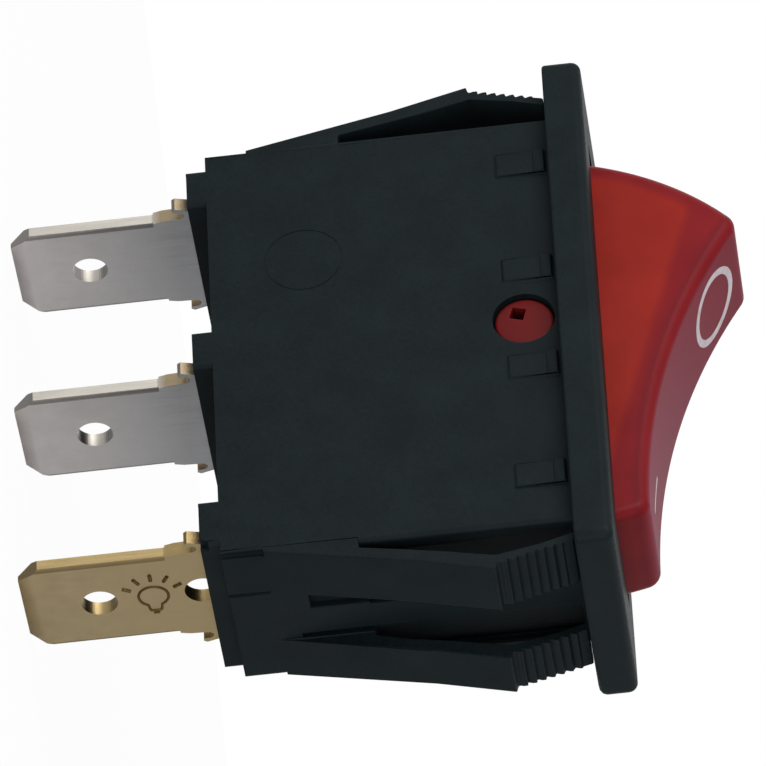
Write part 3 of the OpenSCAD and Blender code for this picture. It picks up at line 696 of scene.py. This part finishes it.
def path_object(name: str, runs: Iterable[Sequence[Point3]]) -> Object:
    """Makes an object of bare edges that follow some open paths.

    Args:
        name: name of the object.
        runs: the points of each path, in millimetres.

    Returns:
        The new object, linked to the scene.
    """
    points: list[Vector] = []
    edges: list[tuple[int, int]] = []
    for run in runs:
        start = len(points)
        points += [Vector(p) * MM for p in run]
        edges += [(start + i, start + i + 1) for i in range(len(run) - 1)]
    mesh = bpy.data.meshes.new(name)
    mesh.from_pydata(points, edges, [])
    return placed(name, mesh)


# ---- pieces taken from the frame ----


@dataclass
class EasedCopy:
    """A CAD node's copy with its hard edges eased, as a mould or a press leaves them.

    An ease of 0 only merges the node's triangles and shades them anew.
    """

    node: str
    finish: Finish
    body: str
    # The easing, the shortest edge that gets it and the widest that any edge gets.
    ease: float = 0.0
    shortest: float = 0.45
    widest: float = 0.5
    steps: int = 3
    # Angles in degrees: past the first an edge is hard, and a fold below the second
    # is so slight that its two faces are one.
    hard: float = 35.0
    flat: float = 0.6

    def amount(self, start: Vector, end: Vector) -> float:
        """Gives the easing of one hard edge.

        Args:
            start: the edge's first end, in millimetres.
            end: its second end.

        Returns:
            The easing in millimetres, 0 where the edge stays sharp.
        """
        return self.ease if (end - start).length > self.shortest else 0.0

    def build(self) -> Object:
        """Merges the node's triangles, rounds its long hard edges and dresses it.

        Returns:
            The finished piece, which stands for the node.
        """
        work = bmesh.new()
        work.from_mesh(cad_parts[self.node].data)
        bmesh.ops.remove_doubles(work, verts=work.verts, dist=2e-6)
        bmesh.ops.dissolve_limit(work, angle_limit=math.radians(self.flat), verts=work.verts,
                                 edges=work.edges)
        weight = work.edges.layers.float.new("bevel_weight_edge")
        for edge in work.edges:
            paired = len(edge.link_faces) == 2
            if paired and edge.calc_face_angle(0) > math.radians(self.hard):
                edge[weight] = self.amount(*(v.co / MM for v in edge.verts)) / self.widest
        mesh = bpy.data.meshes.new(f"{self.node}_dressed")
        work.to_mesh(mesh)
        work.free()
        mesh.materials.append(self.finish.material())
        made = placed(mesh.name, mesh)
        rounding = made.modifiers.new("ease", "BEVEL")
        rounding.limit_method, rounding.width = "WEIGHT", self.widest * MM
        rounding.segments, rounding.use_clamp_overlap = self.steps, False
        bake_modifiers(made)
        sharpen(made.data, WORKED_SHARP)
        flatten = made.modifiers.new("flatten", "WEIGHTED_NORMAL")
        flatten.keep_sharp, flatten.weight = True, 100
        bake_modifiers(made)
        return settle(made, self.body, self.finish.slot, self.node)


# ---- the rocker ----


@dataclass
class Rocker:
    """The translucent rocker: its shell, hub, barrel and trunnions, and its two marks."""

    # The CAD rocker's place and outline.
    pivot_z: float = -1.9
    tilt: float = -17.0
    half_wid: float = 3.4
    face_r: float = 34.0
    face_h: float = 7.55
    end_r: float = 16.13
    end_centre: Point2 = (-3.6, 0.1)
    ridge_r: float = 0.9
    edge_r: float = 0.6
    skirt_up: float = 0.3
    # Its inside: how far a joined piece runs into the other, and by how little the
    # hubs stay short of the skin.
    wall: float = 1.0
    ceiling: float = 6.25
    hollow_low: float = -0.6
    overlap: float = 0.3
    shy: float = 0.02
    hub_r: float = 2.3
    # Its trunnions, with the depth, width and offset of the pocket in their ends.
    trunnion_r: float = 1.57
    trunnion_len: float = 1.5
    roll: float = 0.18
    notch: float = 1.0
    notch_wid: float = 0.75
    notch_at: float = 0.1
    # Its barrel for the plunger.
    barrel_r: float = 2.0
    barrel_len: float = 6.5
    bore_r: float = 1.3
    barrel_ease: float = 0.15
    # The two marks, and the ink's section: share of the half stroke, and height.
    mark_x: float = 6.45
    ring_r: float = 2.0
    stroke: float = 0.42
    bar_half: float = 1.15
    bar_thin: float = 0.3
    ink: tuple[Point2, ...] = ((-1, -0.02), (-1, 0.008), (0, 0.012), (1, 0.008), (1, -0.02))

    def frame(self) -> Matrix:
        """Gives the rocker's own frame: origin on the pivot, tilted as it rests."""
        return Matrix.Translation((0, 0, self.pivot_z)) @ Matrix.Rotation(
            math.radians(self.tilt), 4, "Y")

    def ridge_centre(self) -> Vector:
        """Gives the centre of the rounding between the end and the hollow face."""
        a, b = Vector(self.end_centre), Vector((0, self.face_h + self.face_r))
        r1, r2 = self.end_r - self.ridge_r, self.face_r + self.ridge_r
        way = b - a
        gap = way.length
        along = (gap ** 2 + r1 ** 2 - r2 ** 2) / (2 * gap)
        off = math.sqrt(r1 ** 2 - along ** 2)
        middle, normal = a + way * along / gap, Vector((-way.y, way.x)) / gap
        return max((middle + normal * off, middle - normal * off), key=lambda p: p.x)

    def face_z(self, x: float) -> float:
        """Gives the height of the hollow face at x, in the rocker's frame."""
        return self.face_h + self.face_r - math.sqrt(self.face_r ** 2 - x * x)

    def outline(self, inset: float, bottom: float) -> list[Point2]:
        """Draws the rocker's closed side outline.

        Args:
            inset: how far the outline is drawn in from the real one.
            bottom: height of its flat underside.

        Returns:
            The points in order, in X and Z of the rocker's frame.
        """
        end, ridge = Vector(self.end_centre), self.ridge_centre()
        face = Vector((0, self.face_h + self.face_r))
        r_end, r_ridge, r_face = self.end_r - inset, self.ridge_r - inset, self.face_r + inset
        start = math.asin((bottom - end.y) / r_end)
        meet = math.atan2(ridge.y - end.y, ridge.x - end.x)
        inner = math.atan2(face.y - ridge.y, face.x - ridge.x)
        right = [(end.x + r_end * math.cos(t), end.y + r_end * math.sin(t))
                 for t in (start + (meet - start) * i / 40 for i in range(41))]
        right += [(ridge.x + r_ridge * math.cos(t), ridge.y + r_ridge * math.sin(t))
                  for t in (meet + (inner - meet) * i / 12 for i in range(1, 13))]
        last = math.asin(-ridge.x / (self.face_r + self.ridge_r))
        right += [(-r_face * math.sin(t), face.y - r_face * math.cos(t))
                  for t in (last * (1 - i / 30) for i in range(1, 31))]
        return right + [(-x, z) for x, z in reversed(right[:-1])]

    def slab(self, levels: Sequence[tuple[float, float]], bottom: float) -> list[list[Vector]]:
        """Stands the outline up at several (y, inset) levels, in the part's frame."""
        place = self.frame()
        return [[place @ Vector((x, y, z)) for x, z in self.outline(inset, bottom)]
                for y, inset in levels]

    def shell(self) -> Object:
        """Builds the outer skin, with its side edges rolled."""
        turns = [math.radians(90 * i / 8) for i in range(9)]
        rim = [(self.half_wid - self.edge_r * (1 - math.sin(t)), self.edge_r * (1 - math.cos(t)))
               for t in turns]
        levels = [(-y, d) for y, d in reversed(rim)] + rim
        skin = Draft().loft(self.slab(levels, self.skirt_up))
        return skin.obj("rocker_shell", RED_LENS.material())

    def hollow(self) -> Object:
        """Draws the hollow: the ends' curve, under a flat ceiling."""
        place, reach = self.frame(), self.end_r - self.wall
        low, high = self.hollow_low, self.ceiling
        rise = [low + (high - low) * i / 24 for i in range(25)]
        right = [(self.end_centre[0] + math.sqrt(reach ** 2 - (z - self.end_centre[1]) ** 2), z)
                 for z in rise]
        loop = right + [(-x, z) for x, z in reversed(right)]
        inner = self.half_wid - self.wall
        rings = [[place @ Vector((x, y, z)) for x, z in loop] for y in (-inner, inner)]
        return Draft().loft(rings).obj("rocker_hollow")

    def hub(self) -> Object:
        """Draws the two half-round hubs below the side walls."""
        draft = Draft()
        across = self.frame() @ Matrix.Rotation(math.radians(-90), 4, "X")
        for side in (-1, 1):
            low, high = sorted((side * (self.half_wid - self.wall),
                                side * (self.half_wid - self.shy)))
            draft.lathe([(AXIS, low), (self.hub_r, low), (self.hub_r, high), (AXIS, high)],
                        across)
        return draft.obj("rocker_hub")

    def core(self) -> Object:
        """Draws the plunger's barrel, which hangs from the ceiling."""
        r, bore, ease = self.barrel_r, self.bore_r, self.barrel_ease
        low, high = -self.barrel_len, self.ceiling + self.overlap
        loop = [(bore + ease, low), (r - ease, low), (r, low + ease), (r, high), (bore, high),
                (bore, low + ease), (bore + ease, low)]
        return Draft().lathe(loop, self.frame()).obj("rocker_barrel")

    def trunnions(self) -> Object:
        """Draws the two pivot stubs: a rolled end, with a square pocket in it."""
        stubs, notches = Draft(), Draft()
        place = self.frame()
        for side in (-1, 1):
            across = place @ Matrix.Rotation(math.radians(-90 * side), 4, "X")
            base, tip = self.half_wid - self.overlap, self.half_wid + self.trunnion_len
            r = self.trunnion_r
            rolled = [(r - self.roll * (1 - math.cos(t)), tip - self.roll * (1 - math.sin(t)))
                      for t in (math.radians(15 * i) for i in range(7))]
            stubs.lathe([(AXIS, base), (r, base), *rolled, (AXIS, tip)], across)
            low, high = sorted((side * (tip - self.notch), side * (tip + 1)))
            near = self.notch_at
            far = near + self.notch_wid
            rim = [(near, -near), (far, -near), (far, -far), (near, -far)]
            notches.loft([[place @ Vector((x, y, z)) for x, z in rim] for y in (low, high)])
        return carve(stubs.obj("rocker_trunnions"), notches.obj("trunnion_notches"), Cut.TAKE)

    def ring_mark(self) -> Object:
        """Prints the "off" ring on the raised end of the face."""
        place, rings = self.frame(), []
        for i in range(96):
            t = 2 * math.pi * i / 96
            ring = []
            for share, lift in self.ink:
                r = self.ring_r + share * self.stroke / 2
                x, y = self.mark_x + r * math.cos(t), r * math.sin(t)
                ring.append(place @ Vector((x, y, self.face_z(x) + lift)))
            rings.append(ring)
        return Draft().loft(rings, wrap=True).obj("off_mark", INK.material())

    def bar_mark(self) -> Object:
        """Prints the "on" bar on the pressed end of the face."""
        place, rings = self.frame(), []
        for i in range(25):
            x = -self.mark_x + self.bar_half * (i / 12 - 1)
            z = self.face_z(x)
            half = self.stroke * self.bar_thin
            rings.append([place @ Vector((x, share * half, z + lift))
                          for share, lift in self.ink])
        return Draft().loft(rings).obj("on_mark", INK.material())

    def build(self) -> None:
        """Builds the rocker and its marks, and hands them to the frame."""
        body = carve(self.shell(), self.hollow(), Cut.TAKE)
        for part in (self.hub(), self.trunnions(), self.core()):
            body = carve(body, part, Cut.JOIN)
        sharpen(body.data, WORKED_SHARP)
        settle(body, "rocker", RED_LENS.slot, "rocker")
        settle(self.ring_mark(), "rocker", INK.slot)
        settle(self.bar_mark(), "rocker", INK.slot)


# ---- the housing ----


@dataclass
class EasedHousing(EasedCopy):
    """The moulding's copy: fine teeth left crisp, a softer rim under the bezel."""

    under_bezel: float = 0.16
    worn_end: float = 0.5
    # Where the teeth are, where the bezel's rim begins and where its worn end does.
    arm_x: float = 14.8
    arm_z: Point2 = (-3.99, -0.3)
    rim_x: float = 15.6
    rim_y: float = 6.1
    worn_x: float = -15.5

    def amount(self, start: Vector, end: Vector) -> float:
        """Gives the easing of one hard edge.

        Args:
            start: the edge's first end, in millimetres.
            end: its second end.

        Returns:
            The easing in millimetres, 0 on the teeth and 0.5 at the rim's worn end.
        """
        mid = (start + end) / 2
        if abs(mid.x) > self.arm_x and self.arm_z[0] < mid.z < self.arm_z[1]:
            return 0.0
        level = max(abs(start.z), abs(end.z)) < 0.01
        if level and (abs(mid.x) > self.rim_x or abs(mid.y) > self.rim_y):
            return self.worn_end if mid.x < self.worn_x and mid.y < 0 else self.under_bezel
        return super().amount(start, end)


@dataclass
class Housing:
    """The black moulding, with the round crests of the teeth on its four snap arms."""

    teeth: int = 7
    # The toothed ramp's x and z, from its lower end to its upper one.
    ramp_x: Point2 = (16.15, 15.25)
    ramp_z: Point2 = (-4.0, -0.6)
    crest_share: float = 0.7
    arm_edges: Point2 = (1.7, 2.3)
    half_wid: float = 5.2
    rib_r: float = 0.09
    rib_lift: float = 0.06
    rib_short: float = 0.02

    def ribs(self) -> None:
        """Lays a round bead along each tooth's crest."""
        (x0, x1), (z0, z1) = self.ramp_x, self.ramp_z
        spots = [(x0 + (x1 - x0) * s + self.rib_lift - self.rib_r, z0 + (z1 - z0) * s)
                 for s in ((i + self.crest_share) / self.teeth for i in range(self.teeth))]
        for side, low, high in (("near", self.arm_edges[0], self.half_wid),
                                ("far", -self.half_wid, -self.arm_edges[1])):
            mesh = bpy.data.meshes.new("snap_arm_ribs")
            mesh.from_pydata([Vector((end * x, (low + high) / 2, z)) * MM
                              for end in (-1, 1) for x, z in spots], [], [])
            grown = RibTool().grow(placed(f"snap_arm_ribs_{side}", mesh),
                                   rib_radius=self.rib_r * MM,
                                   rib_length=(high - low - self.rib_short) * MM,
                                   finish=NYLON.material())
            settle(grown, "housing", NYLON.slot)

    def build(self) -> None:
        """Builds the moulding's dressed copy and its ribs."""
        EasedHousing("housing", NYLON, "housing", ease=0.1).build()
        self.ribs()


# ---- blades ----


@dataclass
class Blades:
    """The three push-on blades, and the lamp sign stamped into the brass one."""

    sign_y: float = 0.09
    sign_z: float = -22.39
    face_x: float = -11.78
    line_r: float = 0.085
    ray_r: float = 0.11
    # The bulb: its radius, half the arc that it spans in degrees, its neck's length
    # and narrowing, and the depth and half width of the two lines of its base.
    bulb_r: float = 0.78
    bulb_arc: float = 152.0
    neck: float = 0.42
    neck_share: float = 0.8
    base: tuple[Point2, ...] = ((0.45, 0.3), (0.66, 0.16))
    # The rays: their directions in degrees, and their points' distances.
    ray_turns: tuple[float, ...] = (-62, -31, 0, 31, 62)
    ray_reach: Point3 = (1.28, 1.5, 1.74)

    def on_face(self, y: float, z: float) -> Point3:
        """Gives the point of the brass face at a place in the sign."""
        return self.face_x, self.sign_y + y, self.sign_z + z

    def sign(self) -> tuple[Object, Object]:
        """Stamps a plain bulb with rays into the brass blade; its lines are dark beads, painted
        shade of the stamped grooves.
        """
        r = self.bulb_r
        turns = [math.radians(self.bulb_arc * (i / 20 - 1)) for i in range(41)]
        foot, neck = r * math.cos(turns[0]), r * math.sin(turns[-1])
        narrow = neck * self.neck_share
        bulb = [self.on_face(foot - self.neck, -narrow),
                *(self.on_face(r * math.cos(t), r * math.sin(t)) for t in turns),
                self.on_face(foot - self.neck, narrow)]
        base = [[self.on_face(foot - deep, -half), self.on_face(foot - deep, half)]
                for deep, half in self.base]
        rays = [[self.on_face(reach * math.cos(t), reach * math.sin(t))
                 for reach in self.ray_reach] for t in map(math.radians, self.ray_turns)]
        faint = WireTool().grow(path_object("lamp_sign_bulb", [bulb, *base]),
                                wire_radius=self.line_r * MM, sides=8,
                                finish=SIGN_GROOVE_SHADE.material())
        strong = WireTool().grow(path_object("lamp_sign_rays", rays),
                                 wire_radius=self.ray_r * MM, sides=10,
                                 finish=SIGN_GROOVE_SHADE.material())
        return faint, strong

    def build(self) -> None:
        """Builds the blades' dressed copies and the sign."""
        for node, finish in (("terminal_live", NICKEL), ("terminal_load", NICKEL),
                             ("terminal_lamp", BRASS)):
            EasedCopy(node, finish, "housing").build()
        for piece in self.sign():
            settle(piece, "housing", SIGN_GROOVE_SHADE.slot)


# ---- works inside ----


@dataclass
class InnerWorks:
    """The lever, plunger, lamp and springs inside, which keep their CAD shapes."""

    finishes: dict[str, Finish] = field(default_factory=lambda: {
        "fixed_contact": SILVER, "moving_contact": SILVER, "contact_lever": LEVER_BRASS,
        "plunger": TURNED_BRASS, "spring_cap": TURNED_BRASS, "lamp_spring_cap": TURNED_BRASS,
        "plunger_spring": SPRING_WIRE, "lamp_spring": SPRING_WIRE, "neon_glass": GLASS,
        "neon_electrodes": TINNED_WIRE, "lamp_lead_plunger": TINNED_WIRE,
        "lamp_lead_resistor": TINNED_WIRE, "resistor_lead": TINNED_WIRE, "resistor": LACQUER,
        "lamp_carrier": CARRIER})

    def build(self) -> None:
        """Gives each inner node its finish."""
        for name, finish in self.finishes.items():
            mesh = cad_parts[name].data
            mesh.materials.clear()
            mesh.materials.append(finish.material())
            LOG.info("%s keeps its CAD shape, in %s", name, finish.name)


# ---- floor, light and camera ----


@dataclass
class Studio:
    """A pale floor, soft lamps and the camera."""

    floor_r: float = 110.0
    floor_z: float = -29.22
    floor_thick: float = 2.0
    # How much of the floor the camera sees as plain white, and the fill's strength.
    bare_share: float = 0.96
    fill: float = 0.42
    # Name, place, width and power of each lamp.
    lamps: tuple[tuple[str, Point3, float, float], ...] = (
        ("key", (60, 300, 130), 220, 0.9), ("side", (-300, 120, -60), 260, 0.7))
    camera_at: Point3 = (-324.10, 387.03, 22.345)
    right: Point3 = (-0.04113, -0.11714, 0.99226)
    up: Point3 = (0.76570, 0.63429, 0.10662)
    lens: float = 451.6

    def floor(self) -> None:
        """Lays a round pale floor that reads white and keeps a soft shadow."""
        r, low = self.floor_r, -self.floor_thick
        profile = [(AXIS, low), (r - 1, low), (r, low + 0.5), (r, -0.5), (r - 0.5, 0.0),
                   (AXIS, 0.0)]
        place = Matrix.Translation((0, 0, self.floor_z))
        made = Draft().lathe(profile, place, 128).obj("floor")
        paper = bpy.data.materials.new("pale_paper_floor")
        tree = bare_tree(paper)
        ray = add(tree, "ShaderNodeLightPath")
        seen = calculate(tree, "MULTIPLY", ray.outputs["Is Camera Ray"], self.bare_share)
        matt = add(tree, "ShaderNodeBsdfDiffuse", {"Color": linear("F2F2F0")})
        white = add(tree, "ShaderNodeEmission", {"Color": linear("FFFFFF"), "Strength": 1.0})
        both = add(tree, "ShaderNodeMixShader",
                   {0: seen, 1: matt.outputs[0], 2: white.outputs[0]})
        add(tree, "ShaderNodeOutputMaterial", {"Surface": both.outputs[0]})
        made.data.materials.append(paper)

    def world(self) -> None:
        """Fills in from all sides; the camera, gloss and glass see plain white."""
        world = bpy.data.worlds.new("studio")
        bpy.context.scene.world = world
        tree = bare_tree(world)
        ray = add(tree, "ShaderNodeLightPath")
        direct = calculate(tree, "MAXIMUM", ray.outputs["Is Camera Ray"],
                           ray.outputs["Is Glossy Ray"])
        clear = calculate(tree, "MAXIMUM", direct, ray.outputs["Is Transmission Ray"])
        fill = add(tree, "ShaderNodeBackground",
                   {"Color": linear("EEF2F8"), "Strength": self.fill})
        white = add(tree, "ShaderNodeBackground", {"Color": linear("FFFFFF"), "Strength": 1.0})
        both = add(tree, "ShaderNodeMixShader",
                   {0: clear, 1: fill.outputs[0], 2: white.outputs[0]})
        add(tree, "ShaderNodeOutputWorld", {"Surface": both.outputs[0]})

    def lamp(self, name: str, at: Point3, size: float, power: float) -> None:
        """Hangs a square soft lamp that looks at the part."""
        light = bpy.data.lights.new(name, "AREA")
        light.shape, light.size, light.energy = "SQUARE", size * MM, power
        made = placed(name, light)
        made.location = Vector(at) * MM
        made.rotation_mode = "QUATERNION"
        made.rotation_quaternion = (-Vector(at)).to_track_quat("-Z", "Y")

    def camera(self) -> None:
        """Sets the long lens up at the side, towards the rear."""
        lens = bpy.data.cameras.new("camera")
        lens.lens, lens.sensor_width = self.lens, 36.0
        lens.clip_start, lens.clip_end = 0.01, 10.0
        made = placed("camera", lens)
        right, up = Vector(self.right).normalized(), Vector(self.up).normalized()
        turn = Matrix((right, up, right.cross(up))).transposed()
        made.matrix_world = Matrix.Translation(Vector(self.camera_at) * MM) @ turn.to_4x4()
        bpy.context.scene.camera = made

    def build(self) -> None:
        """Builds the studio."""
        bpy.context.scene.view_settings.view_transform = "Standard"
        self.floor()
        self.world()
        for lamp in self.lamps:
            self.lamp(*lamp)
        self.camera()


def main() -> None:
    """Builds every part of the switch, then the studio round it."""
    logging.basicConfig(level=logging.INFO, format="%(name)s: %(message)s")
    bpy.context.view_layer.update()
    for part in (Housing(), Rocker(), Blades(), InnerWorks(), Studio()):
        part.build()
        LOG.info("%s built", type(part).__name__)


if __name__ == "__main__":
    main()
